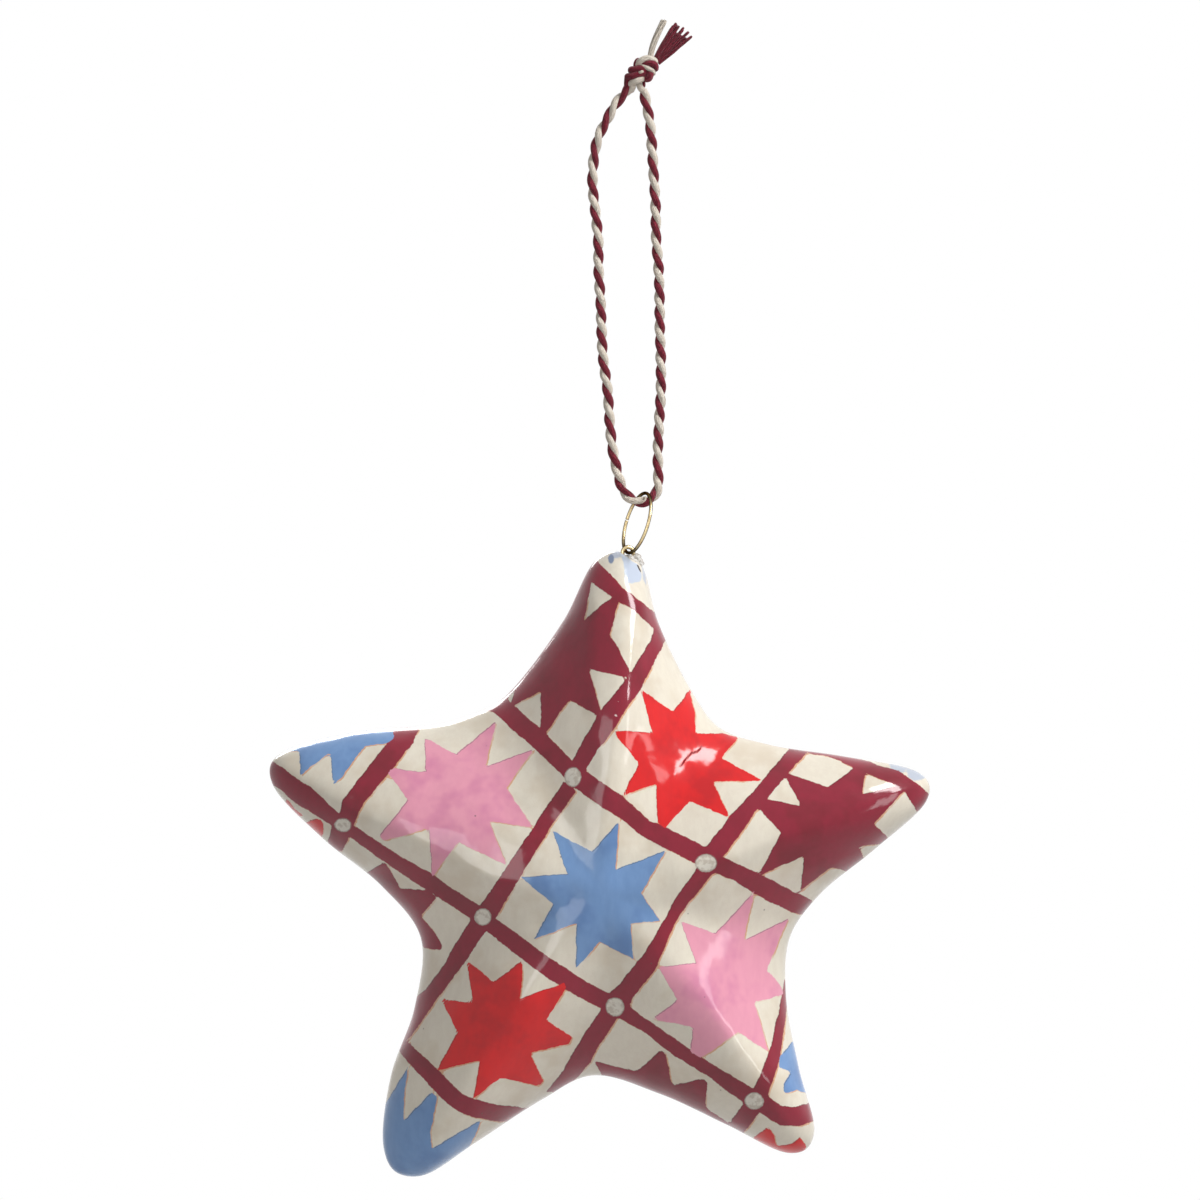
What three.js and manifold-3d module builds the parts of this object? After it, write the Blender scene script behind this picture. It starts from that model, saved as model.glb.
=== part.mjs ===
// A hollow papier-mâché star ornament on a loop of two-colour twine.
// Millimetres, +Z up. The painted front faces -Y and the two moulded halves meet at y = 0.
// The origin is the inside of the loop's top, where a hook or a twig holds the ornament.
// Bearings are in degrees, counter-clockwise from +X as the front is seen.
import * as THREE from 'three';
import { mergeVertices } from 'three/addons/utils/BufferGeometryUtils.js';
import Module from 'manifold-3d';

const wasm = await Module();
wasm.setup();

// The turn that brings the star's weight under the hook; the rest is laid out upright.
const plumbTurn = 2.95;
// The clearance kept between pieces that touch or pass through each other.
const touchGap = 0.3;

// Star: five arms, each with the crotch that follows it counter-clockwise.
// The near and far widths are half widths beside the arm's ridge, near the body and near the tip.
const rightArm = {
  bearing: 18.3,
  reach: 59.2,
  tipRadius: 3.4,
  clockwiseNear: 12.4,
  clockwiseFar: 7.8,
  counterNear: 15.2,
  counterFar: 9.1,
  crotchBearing: 55,
  crotchReach: 34.6,
};
const topArm = {
  bearing: 87.8,
  reach: 59.2,
  tipRadius: 4.7,
  clockwiseNear: 13.9,
  clockwiseFar: 7.5,
  counterNear: 16.9,
  counterFar: 8.9,
  crotchBearing: 120.5,
  crotchReach: 37.6,
};
const leftArm = {
  bearing: 159.3,
  reach: 62,
  tipRadius: 4,
  clockwiseNear: 17.2,
  clockwiseFar: 11.1,
  counterNear: 12.9,
  counterFar: 8.8,
  crotchBearing: 194,
  crotchReach: 33,
};
const lowerLeftArm = {
  bearing: 233.2,
  reach: 60.8,
  tipRadius: 5,
  clockwiseNear: 14.4,
  clockwiseFar: 10.5,
  counterNear: 12.8,
  counterFar: 8.3,
  crotchBearing: 266,
  crotchReach: 32.1,
};
const lowerRightArm = {
  bearing: 307.9,
  reach: 56.8,
  tipRadius: 3.7,
  clockwiseNear: 14.2,
  clockwiseFar: 8.3,
  counterNear: 13.7,
  counterFar: 7.7,
  crotchBearing: 346,
  crotchReach: 33.1,
};
const arms = [rightArm, topArm, leftArm, lowerLeftArm, lowerRightArm];
const hangingArm = topArm;
const armPitch = 360 / arms.length;
// Where along an arm its near and far widths are measured, as parts of its reach.
const nearStation = 0.59;
const farStation = 0.79;
const tipTurns = [-55, 0, 55];

// Relief of each half: half the star's depth, and how it falls from the middle to the rim.
const halfDepth = 18;
const wall = 2;
const bulge = 2.6;
const taper = 0.4;
const crownRadius = 8;
const pointsPerSpan = 3;
const outerRings = 10;
const innerRings = 4;

// Jump ring: round wire, bent round with a hairline cut, tilted and turned as it hangs.
const ringWire = 0.6;
const ringDiameter = 11.4;
const ringCut = 0.15;
const ringTilt = 17;
const ringTurn = -70;

// Wire eye in the top tip: it leans off the arm's ridge, and its bend clears the ring's wire.
const eyeLean = -1.7;
const eyeSink = 0.1;
const eyeWire = 0.7;
const eyeSlack = 0.35;
const eyeLegLength = 5;
const eyeBend = eyeWire / 2 + ringWire / 2 + eyeSlack;

// Plug of pulp and glue that the eye's legs stand in; its top lies just under the ring's wire.
// Its lower end is rounded over: a narrow foot, and a side that starts a radius up.
const plugWall = 0.55;
const plugFloor = 1.4;
const plugTopGap = 0.45;
const legGap = 0.25;
const plugFoot = 1.1;
const plugFootRise = 0.4;
const plugRadius = eyeBend + eyeWire / 2 + plugWall;
const plugTop = -(ringWire / 2 + plugTopGap);
const plugBottom = -(eyeLegLength + legGap + plugFloor);

// Twine: its diameter, the point of its lowest bend that the ring hangs on, and its route.
const cordDiameter = 1.9;
const bight = new THREE.Vector3(0.8, 0, -70.93);
const cordRoute = [
  [-1.3, -0.4, 1.4],
  [-2.7, -0.4, -0.4],
  [-4.2, -0.4, -2.1],
  [-5.6, -0.4, -4.7],
  [-6.9, -0.4, -7.3],
  [-7.6, -0.4, -9.9],
  [-8.1, -0.5, -15.1],
  [-7.6, -0.5, -20.3],
  [-7.1, -0.6, -25.5],
  [-7.0, -0.6, -30.7],
  [-6.7, -0.7, -35.9],
  [-6.5, -0.8, -41.1],
  [-6.2, -0.9, -46.3],
  [-5.5, -1.0, -51.5],
  [-5.1, -1.1, -56.7],
  [-4.6, -1.2, -61.9],
  [-4.0, -1.2, -64.8],
  [-3.4, -1.2, -67.1],
  [-2.8, -1.1, -68.8],
  [-1.8, -0.9, -70.1],
  [-0.6, -0.5, -70.8],
  [0.7, -0.05, -71.0],
  [1.9, 0.4, -70.5],
  [2.8, 0.75, -69.6],
  [3.3, 1.0, -68.3],
  [3.3, 1.2, -65.8],
  [3.3, 1.2, -61.9],
  [3.5, 1.2, -56.7],
  [3.8, 1.1, -51.5],
  [3.8, 1.0, -46.3],
  [3.6, 0.9, -41.1],
  [3.6, 0.8, -35.9],
  [3.4, 0.7, -30.7],
  [3.0, 0.6, -25.5],
  [2.9, 0.5, -20.3],
  [2.6, 0.5, -15.1],
  [2.3, 0.4, -9.9],
  [1.8, 0.4, -4.7],
  [1.3, 0.4, -2.1],
  [0.8, 0.4, 0.7],
];
// Overhand knot: three wraps, each tilted and turned its own way, round a core.
const knotCentre = new THREE.Vector3(0.5, 0, 3.8);
const knotRadius = 2.7;
const knotWraps = [
  { tilt: 25, turn: -20 },
  { tilt: 75, turn: 30 },
  { tilt: 125, turn: 0 },
];

// Tails above the knot: where each leaves it, and its run from there.
// The cream tail is one blunt ply, and the burgundy one spreads into thin strands.
const creamTail = { bearing: 62, diameter: 1, run: [[0, 0, 0], [1.1, -0.1, 2.8], [2.4, 0.1, 6.2]] };
const burgundyTail = {
  bearing: 37,
  diameter: 1.2,
  run: [[0, 0, 0], [0.9, -0.1, 1.3], [1.8, 0, 2.7]],
  strandDiameter: 0.7,
  strands: [
    [[1.2, -0.2, 1.9], [2.3, -0.4, 4.1], [3.5, -0.6, 6.5]],
    [[1.3, 0.1, 1.7], [3.2, 0.2, 4.0], [4.9, 0.3, 5.8]],
    [[1.4, -0.1, 2.1], [3.7, -0.3, 3.8], [5.8, -0.4, 5.0]],
    [[1.1, 0.2, 1.5], [3.8, 0.4, 3.4], [6.3, 0.5, 4.3]],
  ],
};

// Facets: sides of the thin round pieces and of the wide ones, and steps along the bars.
const thinSides = 8;
const wideSides = 24;
const tailSteps = 6;
const eyeSteps = 44;
const ringSteps = 48;
const cordSteps = 64;

const cream = new THREE.Color(0xded6c6);
const burgundy = new THREE.Color(0x82233a);
const brass = new THREE.Color(0xbea064);

function finish(color, roughness, metalness = 0) {
  return new THREE.MeshStandardMaterial({ color, roughness, metalness });
}

function radians(degrees) {
  return THREE.MathUtils.degToRad(degrees);
}

// A point of the star's plane, from its distance and bearing.
function polar(distance, bearing) {
  return new THREE.Vector2(distance * Math.cos(radians(bearing)), distance * Math.sin(radians(bearing)));
}

function bare(geometry) {
  geometry.deleteAttribute('normal');
  geometry.deleteAttribute('uv');
  return mergeVertices(geometry, 1e-4);
}

function toSolid(geometry) {
  const merged = bare(geometry);
  return new wasm.Manifold(new wasm.Mesh({
    numProp: 3,
    vertProperties: new Float32Array(merged.attributes.position.array),
    triVerts: new Uint32Array(merged.index.array),
  }));
}

function fromSolid(solid) {
  const mesh = solid.getMesh();
  const geometry = new THREE.BufferGeometry();
  geometry.setAttribute('position', new THREE.BufferAttribute(mesh.vertProperties, 3));
  geometry.setIndex(new THREE.BufferAttribute(mesh.triVerts, 1));
  geometry.computeVertexNormals();
  return geometry;
}

function part(name, geometry, material) {
  const mesh = new THREE.Mesh(geometry, material);
  mesh.name = name;
  return mesh;
}

// A round bar of the given diameter along a curve, with flat ends.
function tube(path, diameter, steps) {
  const corners = [];
  for (let side = 0; side < thinSides; side += 1) {
    corners.push(polar(diameter / 2, (side * 360) / thinSides));
  }
  const section = new THREE.Shape(corners);
  return bare(new THREE.ExtrudeGeometry(section, { steps, bevelEnabled: false, extrudePath: path }));
}

function curveThrough(points) {
  return new THREE.CatmullRomCurve3(points.map((point) => new THREE.Vector3(...point)));
}

// The star's outline, seen from the front, as one smooth closed curve round its middle.
function outlineCurve() {
  const knots = [];
  arms.forEach((arm) => {
    const addBeside = (distance, aside) => {
      const along = polar(distance, arm.bearing);
      const across = polar(aside, arm.bearing + 90);
      knots.push(new THREE.Vector3(along.x + across.x, 0, along.y + across.y));
    };
    addBeside(nearStation * arm.reach, -arm.clockwiseNear);
    addBeside(farStation * arm.reach, -arm.clockwiseFar);
    tipTurns.forEach((turn) => {
      const offset = polar(arm.tipRadius, turn);
      addBeside(arm.reach - arm.tipRadius + offset.x, offset.y);
    });
    addBeside(farStation * arm.reach, arm.counterFar);
    addBeside(nearStation * arm.reach, arm.counterNear);
    const crotch = polar(arm.crotchReach, arm.crotchBearing);
    knots.push(new THREE.Vector3(crotch.x, 0, crotch.y));
  });
  return { curve: new THREE.CatmullRomCurve3(knots, true), spans: knots.length };
}

// The outline's points, moved inwards by inset along the outline's own normal.
function outlinePoints(inset) {
  const { curve, spans } = outlineCurve();
  const count = spans * pointsPerSpan;
  const points = [];
  for (let i = 0; i < count; i += 1) {
    const at = curve.getPoint(i / count);
    const way = curve.getTangent(i / count);
    points.push(new THREE.Vector2(at.x - way.z * inset, at.z + way.x * inset));
  }
  return points;
}

function mean(values) {
  return values.reduce((sum, value) => sum + value, 0) / values.length;
}

// How far the relief runs out on a bearing: long on the ridges of the arms, short in the valleys.
function reliefReach(bearing) {
  const ridges = mean(arms.map((arm) => arm.reach));
  const valleys = mean(arms.map((arm) => arm.crotchReach));
  const firstRidge = mean(arms.map((arm, index) => arm.bearing - index * armPitch));
  const wave = Math.cos(arms.length * (bearing - radians(firstRidge)));
  return (ridges + valleys + (ridges - valleys) * wave) / 2;
}

// Height of the relief over the seam plane; share is 0 in the middle and 1 on the rim.
function reliefHeight(point, share, depth) {
  const distance = Math.hypot(point.x, point.y, crownRadius) - crownRadius;
  const fall = 1 - (taper * distance) / reliefReach(Math.atan2(point.y, point.x));
  return depth * Math.sqrt(1 - share ** bulge) * fall;
}

// One half of the star as an open bowl; side is -1 for the front half and 1 for the back half.
function shellHalf(side) {
  const vertices = [];
  const triangles = [];
  const outer = outlinePoints(0);
  const inner = outlinePoints(wall);
  const count = outer.length;
  const addRing = (outline, share, depth) => {
    outline.forEach((rim) => {
      const point = rim.clone().multiplyScalar(share);
      vertices.push(point.x, side * reliefHeight(point, share, depth), point.y);
    });
  };
  vertices.push(0, side * halfDepth, 0);
  for (let ring = 1; ring <= outerRings; ring += 1) {
    addRing(outer, Math.sin((Math.PI / 2) * (ring / outerRings)), halfDepth);
  }
  for (let ring = innerRings; ring >= 1; ring -= 1) {
    addRing(inner, Math.sin((Math.PI / 2) * (ring / innerRings)), halfDepth - wall);
  }
  vertices.push(0, side * (halfDepth - wall), 0);

  const addTriangle = (a, b, c) => triangles.push(...(side < 0 ? [a, b, c] : [a, c, b]));
  const last = vertices.length / 3 - 1;
  for (let i = 0; i < count; i += 1) {
    const next = (i + 1) % count;
    addTriangle(0, 1 + i, 1 + next);
    for (let ring = 0; ring < outerRings + innerRings - 1; ring += 1) {
      const here = 1 + ring * count;
      addTriangle(here + i, here + count + i, here + count + next);
      addTriangle(here + i, here + count + next, here + next);
    }
    addTriangle(last - count + i, last, last - count + next);
  }
  const geometry = new THREE.BufferGeometry();
  geometry.setAttribute('position', new THREE.Float32BufferAttribute(vertices, 3));
  geometry.setIndex(triangles);
  return geometry;
}

// How far from the star's middle the eye's bend is centred: at the tip's surface, sunk a little.
function eyeDistance() {
  const tipCentre = polar(hangingArm.reach - hangingArm.tipRadius, eyeLean);
  const halfChord = Math.sqrt(hangingArm.tipRadius ** 2 - tipCentre.y ** 2);
  return tipCentre.x + halfChord - eyeSink;
}

// The eye's own frame: its centre is the origin and +Z leads out of the tip.
function eyeFrame() {
  const frame = new THREE.Group();
  const bearing = hangingArm.bearing + eyeLean;
  const centre = polar(eyeDistance(), bearing);
  frame.position.set(centre.x, 0, centre.y);
  frame.rotation.set(0, radians(90 - bearing), radians(ringTurn), 'YXZ');
  frame.updateMatrix();
  return frame;
}

function cylinder(radius, bottom, top) {
  const geometry = new THREE.CylinderGeometry(radius, radius, top - bottom, wideSides);
  geometry.rotateX(Math.PI / 2);
  geometry.translate(0, 0, (top + bottom) / 2);
  return geometry;
}

// The hole through the tip, seen in the star's frame.
function tipHole() {
  const hole = cylinder(plugRadius + touchGap, plugBottom - touchGap, eyeBend + eyeWire);
  hole.applyMatrix4(eyeFrame().matrix);
  return toSolid(hole);
}

function starHalf(name, side) {
  const geometry = fromSolid(toSolid(shellHalf(side)).subtract(tipHole()));
  return part(name, geometry, finish(cream, 0.25));
}

function hangerEye() {
  const path = new THREE.CurvePath();
  const points = [new THREE.Vector3(0, -eyeBend, -eyeLegLength)];
  for (let turn = 180; turn >= 0; turn -= 15) {
    const at = polar(eyeBend, turn);
    points.push(new THREE.Vector3(0, at.x, at.y));
  }
  points.push(new THREE.Vector3(0, eyeBend, -eyeLegLength));
  for (let i = 1; i < points.length; i += 1) path.add(new THREE.LineCurve3(points[i - 1], points[i]));
  return part('hanger_eye', tube(path, eyeWire, eyeSteps), finish(brass, 0.35, 1));
}

function hangerPlug() {
  const profile = [
    new THREE.Vector2(0, plugBottom),
    new THREE.Vector2(plugFoot, plugBottom + plugFootRise),
    new THREE.Vector2(plugRadius, plugBottom + plugRadius),
    new THREE.Vector2(plugRadius, plugTop),
    new THREE.Vector2(0, plugTop),
  ];
  const body = new THREE.LatheGeometry(profile, wideSides);
  body.rotateX(Math.PI / 2);
  let solid = toSolid(body);
  for (const aside of [-eyeBend, eyeBend]) {
    const hole = cylinder(eyeWire / 2 + legGap, -eyeLegLength - legGap, 0);
    hole.translate(0, aside, 0);
    solid = solid.subtract(toSolid(hole));
  }
  return part('hanger_plug', fromSolid(solid), finish(cream, 0.9));
}

class RingArc extends THREE.Curve {
  getPoint(t, target = new THREE.Vector3()) {
    const cutTurn = ringCut / ringDiameter;
    const turn = Math.PI + cutTurn + t * 2 * (Math.PI - cutTurn);
    const radius = (ringDiameter - ringWire) / 2;
    return target.set(radius * Math.cos(turn), 0, radius * Math.sin(turn));
  }
}

// The ring's frame: its centre is the origin, +Z leads to the top of the ring, +Y is its axis.
function ringFrame() {
  const frame = new THREE.Group();
  frame.rotation.set(0, radians(ringTilt), radians(ringTurn), 'YXZ');
  const up = new THREE.Vector3(0, 0, 1).applyEuler(frame.rotation);
  const rest = cordDiameter / 2 + ringWire / 2 + touchGap;
  frame.position.copy(bight).addScaledVector(up, rest - (ringDiameter - ringWire) / 2);
  frame.updateMatrix();
  return frame;
}

function jumpRing() {
  return part('jump_ring', tube(new RingArc(), ringWire, ringSteps), finish(brass, 0.3, 1));
}

// The lowest point of the ring's wire, where the star hangs.
function ringBottom(frame) {
  return new THREE.Vector3(0, 0, -(ringDiameter - ringWire) / 2).applyMatrix4(frame.matrix);
}

function hangingCord() {
  const geometry = tube(curveThrough(cordRoute), cordDiameter, cordSteps);
  return part('hanging_cord', geometry, finish(burgundy, 0.9));
}

// The overhand knot: the wraps of twine pulled tight round a core.
function cordKnot() {
  const wrapRadius = knotRadius - cordDiameter / 2;
  let solid = toSolid(new THREE.SphereGeometry(wrapRadius, wideSides, wideSides / 2));
  knotWraps.forEach(({ tilt, turn }) => {
    const wrap = new THREE.TorusGeometry(wrapRadius, cordDiameter / 2, thinSides, wideSides);
    wrap.rotateX(radians(tilt));
    wrap.rotateY(radians(turn));
    solid = solid.add(toSolid(wrap));
  });
  const knot = part('cord_knot', fromSolid(solid), finish(burgundy, 0.9));
  knot.position.copy(knotCentre);
  return knot;
}

// A tail's first point lies just off the knot, and the tail's node stands there.
function tailPart(name, bearing, geometry, color) {
  const base = polar(knotRadius + touchGap, bearing);
  const tail = part(name, geometry, finish(color, 0.95));
  tail.position.set(knotCentre.x + base.x, knotCentre.y, knotCentre.z + base.y);
  return tail;
}

function creamEnd() {
  const geometry = tube(curveThrough(creamTail.run), creamTail.diameter, tailSteps);
  return tailPart('cord_end_cream', creamTail.bearing, geometry, cream);
}

function burgundyEnd() {
  const { bearing, run, diameter, strands, strandDiameter } = burgundyTail;
  let solid = toSolid(tube(curveThrough(run), diameter, tailSteps));
  strands.forEach((strand) => {
    solid = solid.add(toSolid(tube(curveThrough(strand), strandDiameter, tailSteps)));
  });
  return tailPart('cord_end_burgundy', bearing, fromSolid(solid), burgundy);
}

function star(hangPoint) {
  const group = new THREE.Group();
  const eye = eyeFrame();
  eye.add(hangerEye(), hangerPlug());
  group.add(starHalf('front_shell', -1), starHalf('back_shell', 1), eye);
  group.position.copy(hangPoint).sub(eye.position);
  return group;
}

const ornament = new THREE.Group();
const ring = ringFrame();
ring.add(jumpRing());
ornament.add(hangingCord(), cordKnot(), creamEnd(), burgundyEnd(), ring, star(ringBottom(ring)));
ornament.rotation.y = -radians(plumbTurn);

export default ornament;
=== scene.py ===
"""Looks of a painted, lacquered papier-mâché star that hangs on a loop of two-colour twine.

Shapes are worked out upright, in millimetres, with the inside of the loop's top as the origin.
The whole ornament is then turned, so that the star's weight hangs straight under the hook.
Painted outlines are read off in pixels of the photograph.
"""
import math
import bpy
import numpy as np
from mathutils import Matrix, Vector


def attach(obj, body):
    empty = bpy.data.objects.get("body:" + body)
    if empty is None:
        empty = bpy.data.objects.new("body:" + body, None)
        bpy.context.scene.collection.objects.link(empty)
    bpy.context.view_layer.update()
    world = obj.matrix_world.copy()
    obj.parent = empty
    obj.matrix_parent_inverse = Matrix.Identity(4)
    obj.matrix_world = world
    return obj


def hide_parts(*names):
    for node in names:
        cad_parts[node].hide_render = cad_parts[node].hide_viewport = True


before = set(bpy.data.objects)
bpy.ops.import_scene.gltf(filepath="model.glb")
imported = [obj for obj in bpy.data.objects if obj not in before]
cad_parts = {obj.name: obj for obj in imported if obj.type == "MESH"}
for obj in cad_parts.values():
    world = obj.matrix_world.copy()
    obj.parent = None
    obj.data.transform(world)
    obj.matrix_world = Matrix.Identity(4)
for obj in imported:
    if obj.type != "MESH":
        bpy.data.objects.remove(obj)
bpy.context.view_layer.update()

MM = 0.001
PLUMB_TURN = Matrix.Rotation(math.radians(-2.95), 4, 'Y')
TO_WORLD = np.array((PLUMB_TURN @ Matrix.Scale(MM, 4)).to_3x3())

# The photograph: its size, the pixel of the loop's top, and millimetres to the pixel.
PHOTO_SIZE = 1200
LOOP_TOP = np.array((639.0, 93.0))
PIXEL = 0.1735
# The camera: its distance and sensor in millimetres, and its near limit in metres.
CAMERA_DISTANCE = 1500.0
SENSOR = 36.0
CLIP_START = 0.05


def upright(pixel, y=0.0):
    """The upright place, in millimetres, of a pixel of the photograph."""
    return (pixel[0] - LOOP_TOP[0]) * PIXEL, y, (LOOP_TOP[1] - pixel[1]) * PIXEL


def to_world(points):
    """Upright millimetres to metres in the row's frame."""
    return np.asarray(points, float) @ TO_WORLD.T


def new_object(name, data):
    made = bpy.data.objects.new(name, data)
    bpy.context.scene.collection.objects.link(made)
    return made


def make_camera():
    data = bpy.data.cameras.new('camera')
    data.sensor_width = SENSOR
    data.lens = SENSOR * CAMERA_DISTANCE / (PHOTO_SIZE * PIXEL)
    data.clip_start = CLIP_START
    camera = new_object('camera', data)
    place = to_world(upright((PHOTO_SIZE / 2, PHOTO_SIZE / 2), -CAMERA_DISTANCE))
    camera.matrix_world = Matrix.Translation(place) @ PLUMB_TURN @ Matrix.Rotation(math.pi / 2, 4, 'X')
    bpy.context.scene.camera = camera


make_camera()


# Mesh helpers


def srgb(*levels):
    """A colour seen as 0 to 255, in the renderer's linear units."""
    shares = [level / 255 for level in levels]
    return *(v / 12.92 if v <= 0.04045 else ((v + 0.055) / 1.055) ** 2.4 for v in shares), 1.0


def catmull(points, closed, per_span):
    """A centripetal Catmull-Rom curve through the points, with per_span steps from each to the next."""
    points = np.asarray(points, float)
    if closed:
        around = np.vstack([points[-1], points, points[:2]])
    else:
        around = np.vstack([2 * points[0] - points[1], points, 2 * points[-1] - points[-2]])
    path = []
    for p0, p1, p2, p3 in zip(around, around[1:], around[2:], around[3:]):
        d0, d1, d2 = (np.sqrt(np.linalg.norm(b - a)) for a, b in ((p0, p1), (p1, p2), (p2, p3)))
        t1 = ((p1 - p0) / d0 - (p2 - p0) / (d0 + d1) + (p2 - p1) / d1) * d1
        t2 = ((p2 - p1) / d1 - (p3 - p1) / (d1 + d2) + (p3 - p2) / d2) * d1
        for index in range(per_span):
            t = index / per_span
            path.append(p1 + t * t1 + t * t * (3 * (p2 - p1) - 2 * t1 - t2)
                        + t ** 3 * (2 * (p1 - p2) + t1 + t2))
    if not closed:
        path.append(points[-1])
    return np.array(path)


def distances_along(path):
    """How far along the path each of its points lies."""
    return np.concatenate(([0], np.cumsum(np.linalg.norm(np.diff(path, axis=0), axis=1))))


def resample(path, count):
    """The same path as count points an even distance apart."""
    along = distances_along(path)
    at = np.linspace(0, along[-1], count)
    return np.stack([np.interp(at, along, path[:, k]) for k in range(3)], axis=1)


# A direction that no path starts along, from which each path's first normal is found.
ODD_WAY = (0.31, 0.83, 0.47)


def frames_along(path):
    """Normal and side at each point of a path, carried along without twisting."""
    tangents = np.gradient(path, axis=0)
    tangents /= np.linalg.norm(tangents, axis=1)[:, None]
    normal = np.cross(tangents[0], ODD_WAY)
    normals = []
    for tangent in tangents:
        normal = normal - tangent * (normal @ tangent)
        normal = normal / np.linalg.norm(normal)
        normals.append(normal)
    return np.array(normals), np.cross(tangents, normals)


def beside(path, turns, distance):
    """A path that winds round another one, with a turn for each point and its distance from it."""
    normals, sideways = frames_along(path)
    offset = np.cos(turns)[:, None] * normals + np.sin(turns)[:, None] * sideways
    return path + np.reshape(distance, (-1, 1)) * offset


def belts(first, last, sides):
    """Faces that join each ring of points to the next; first and last are where the end rings start."""
    return [(a + j, a + sides + j, a + sides + (j + 1) % sides, a + (j + 1) % sides)
            for a in range(first, last, sides) for j in range(sides)]


def unit_ball(rings, sides):
    """Directions all round, and the faces that join them, with one point at each pole."""
    heights = np.linspace(0, math.pi, rings + 1)[1:-1]
    turns = np.linspace(0, 2 * math.pi, sides, endpoint=False)
    tilt, turn = np.meshgrid(heights, turns, indexing='ij')
    belt = np.stack([np.sin(tilt) * np.cos(turn), np.sin(tilt) * np.sin(turn), np.cos(tilt)], axis=-1)
    away = np.vstack([belt.reshape(-1, 3), (0, 0, 1), (0, 0, -1)])
    top, bottom, last = len(away) - 2, len(away) - 1, (rings - 2) * sides
    faces = belts(0, last, sides)
    for j in range(sides):
        k = (j + 1) % sides
        faces += [(top, j, k), (bottom, last + k, last + j)]
    return away, faces


class Shape:
    """Vertices, faces and per-vertex fields of one mesh, gathered bit by bit."""

    def __init__(self):
        self.vertices = []
        self.faces = []
        self.slots = []
        self.strands = []

    def add(self, vertices, faces, slot=0, strand=None):
        start = sum(map(len, self.vertices))
        self.vertices.append(vertices)
        self.faces += [tuple(corner + start for corner in face) for face in faces]
        self.slots += [slot] * len(faces)
        if strand is not None:
            self.strands.append(strand)

    def add_tube(self, path, radii, sides, slot=0, seed=0.0):
        """A round bar along a path, with closed ends; radii is one number or one per point."""
        count = len(path)
        normals, sideways = frames_along(path)
        turns = np.linspace(0, 2 * math.pi, sides, endpoint=False)
        across, up = np.cos(turns), np.sin(turns)
        ring = across[:, None] * normals[:, None] + up[:, None] * sideways[:, None]
        vertices = path[:, None] + np.broadcast_to(radii, count)[:, None, None] * ring
        strand = np.stack([np.repeat(distances_along(path), sides), np.tile(across, count) + seed,
                           np.tile(up, count) + seed], axis=1)
        last = (count - 1) * sides
        faces = [(a, d, c, b) for a, b, c, d in belts(0, last, sides)]
        faces += [tuple(range(sides))[::-1], tuple(range(last, last + sides))]
        self.add(vertices.reshape(-1, 3), faces, slot, strand)

    def piece(self, name, materials, body, nodes, fields=None):
        """Makes the object, in the row's frame, and says what it rides on and stands for."""
        mesh = bpy.data.meshes.new(name)
        mesh.from_pydata(to_world(np.concatenate(self.vertices)).tolist(), [], self.faces)
        mesh.polygons.foreach_set('use_smooth', [True] * len(self.faces))
        mesh.polygons.foreach_set('material_index', self.slots)
        if self.strands:
            layer = mesh.attributes.new('strand', 'FLOAT_VECTOR', 'POINT')
            layer.data.foreach_set('vector', np.concatenate(self.strands).ravel())
        for field, values in (fields or {}).items():
            mesh.attributes.new(field, 'FLOAT', 'POINT').data.foreach_set('value', values)
        for material in materials:
            mesh.materials.append(material)
        mesh.update()
        made = new_object(name, mesh)
        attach(made, body)
        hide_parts(*nodes)
        return made


# Material helpers


def feed(tree, node, inputs):
    """Sets a node's inputs, each to a plain value or to the socket that feeds it."""
    for key, value in inputs.items():
        if isinstance(value, bpy.types.NodeSocket):
            tree.links.new(value, node.inputs[key])
        else:
            node.inputs[key].default_value = value


def add(tree, kind, inputs=None, **settings):
    made = tree.nodes.new('ShaderNode' + kind)
    for key, value in settings.items():
        setattr(made, key, value)
    feed(tree, made, inputs or {})
    return made


def maths(tree, operation, *values):
    return add(tree, 'Math', dict(enumerate(values)), operation=operation).outputs[0]


def blend(tree, factor, first, second, kind='MIX'):
    made = add(tree, 'Mix', {0: factor, 6: first, 7: second}, data_type='RGBA', blend_type=kind)
    return made.outputs[2]


def step(tree, value, low, high, top=1.0):
    """0 below low and top above high, or the other way round where high is the lower."""
    made = add(tree, 'MapRange', {'Value': value, 'From Min': low, 'From Max': high, 'To Max': top},
               interpolation_type='SMOOTHSTEP')
    return made.outputs['Result']


def noise(tree, vector, scale, detail=2.0, roughness=0.5, stretch=None):
    if stretch:
        vector = add(tree, 'Mapping', {'Vector': vector, 'Scale': stretch}).outputs[0]
    made = add(tree, 'TexNoise', {'Vector': vector, 'Scale': scale, 'Detail': detail,
                                  'Roughness': roughness})
    return made.outputs[0]


def field(tree, name, output='Fac'):
    return add(tree, 'Attribute', attribute_name=name).outputs[output]


def millimetres(tree):
    """The point on the object, in millimetres."""
    place = add(tree, 'TexCoord').outputs['Object']
    return add(tree, 'VectorMath', {0: place, 'Scale': 1 / MM}, operation='SCALE').outputs[0]


def new_material(name):
    material = bpy.data.materials.new(name)
    material.use_nodes = True
    return material, material.node_tree, material.node_tree.nodes['Principled BSDF']


def bump(tree, height, depth, normal=None):
    """A bump of the given depth in millimetres where the height goes from 0 to 1."""
    inputs = {'Height': height, 'Distance': depth * MM}
    if normal is not None:
        inputs['Normal'] = normal
    return add(tree, 'Bump', inputs).outputs[0]


# Twine: one free loop, its knot and its tails

TWINE_DIAMETER = 1.9
TWIST_PHASE = 0.4
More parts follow.
